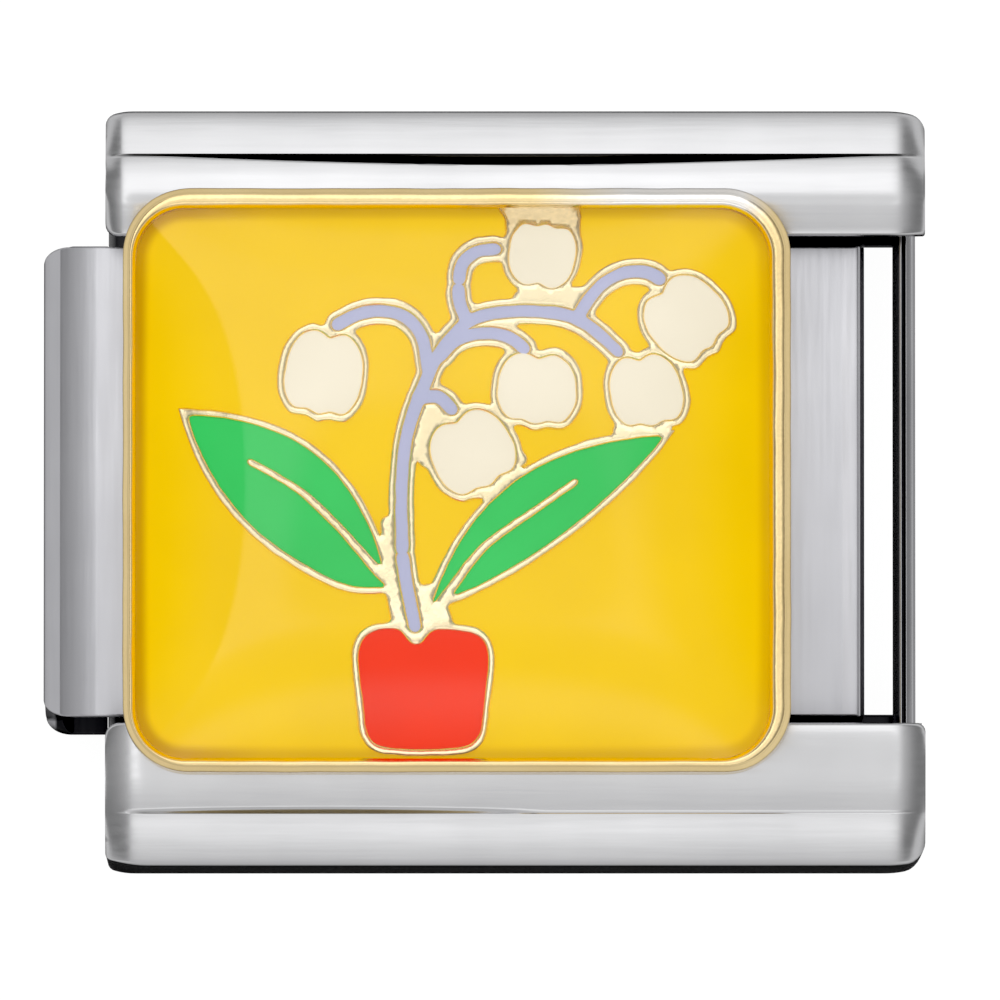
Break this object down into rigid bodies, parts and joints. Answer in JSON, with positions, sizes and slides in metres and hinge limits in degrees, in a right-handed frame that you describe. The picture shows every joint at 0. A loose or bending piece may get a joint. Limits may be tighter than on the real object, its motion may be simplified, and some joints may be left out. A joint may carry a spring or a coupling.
{
  "type": "enamel charm bracelet link",
  "caption": "Sprung link of a modular bracelet: a hooked plate slides in a railed steel frame and carries a gold-rimmed enamel plaque of a potted flower under a clear dome.",
  "frame": {"origin": "middle of the bounding box's bottom, on the flat back of the frame", "axes": "+X along the bracelet away from the link's own hook, +Y across the bracelet towards the picture's top, +Z out of the face"},
  "size_m": [0.0106, 0.009, 0.0046],
  "materials": {
    "steel": "polished",
    "spring_steel": "plain",
    "gold_plate": "polished gold plate",
    "yellow_enamel": "gloss",
    "green_enamel": "gloss",
    "red_enamel": "gloss",
    "ivory_enamel": "gloss",
    "lilac_enamel": "gloss",
    "clear_resin": "clear gloss"
  },
  "bodies": {
    "frame": {"outer_frame": "steel", "leaf_spring": "spring_steel"},
    "slider": {"sliding_plate": "steel", "plaque_base": "gold_plate", "enamel_ground": "yellow_enamel", "enamel_pocket_1": "yellow_enamel", "enamel_pocket_2": "yellow_enamel", "enamel_pocket_3": "yellow_enamel", "enamel_pocket_4": "yellow_enamel", "enamel_pocket_5": "yellow_enamel", "enamel_leaf_left": "green_enamel", "enamel_leaf_right": "green_enamel", "enamel_pot": "red_enamel", "enamel_bell_1": "ivory_enamel", "enamel_bell_2": "ivory_enamel", "enamel_bell_3": "ivory_enamel", "enamel_bell_4": "ivory_enamel", "enamel_bell_5": "ivory_enamel", "enamel_bell_6": "ivory_enamel", "enamel_stem_lower": "lilac_enamel", "enamel_stem_main": "lilac_enamel", "enamel_stem_top": "lilac_enamel", "clear_dome": "clear_resin"}
  },
  "joints": [
    {"name": "plate_slide", "type": "slide", "parent": "frame", "child": "slider", "axis": [-1, 0, 0], "range_m": [0, 0.002], "stiffness_N_per_m": 300, "springref_m": -0.001, "deforming": ["leaf_spring"]}
  ]
}
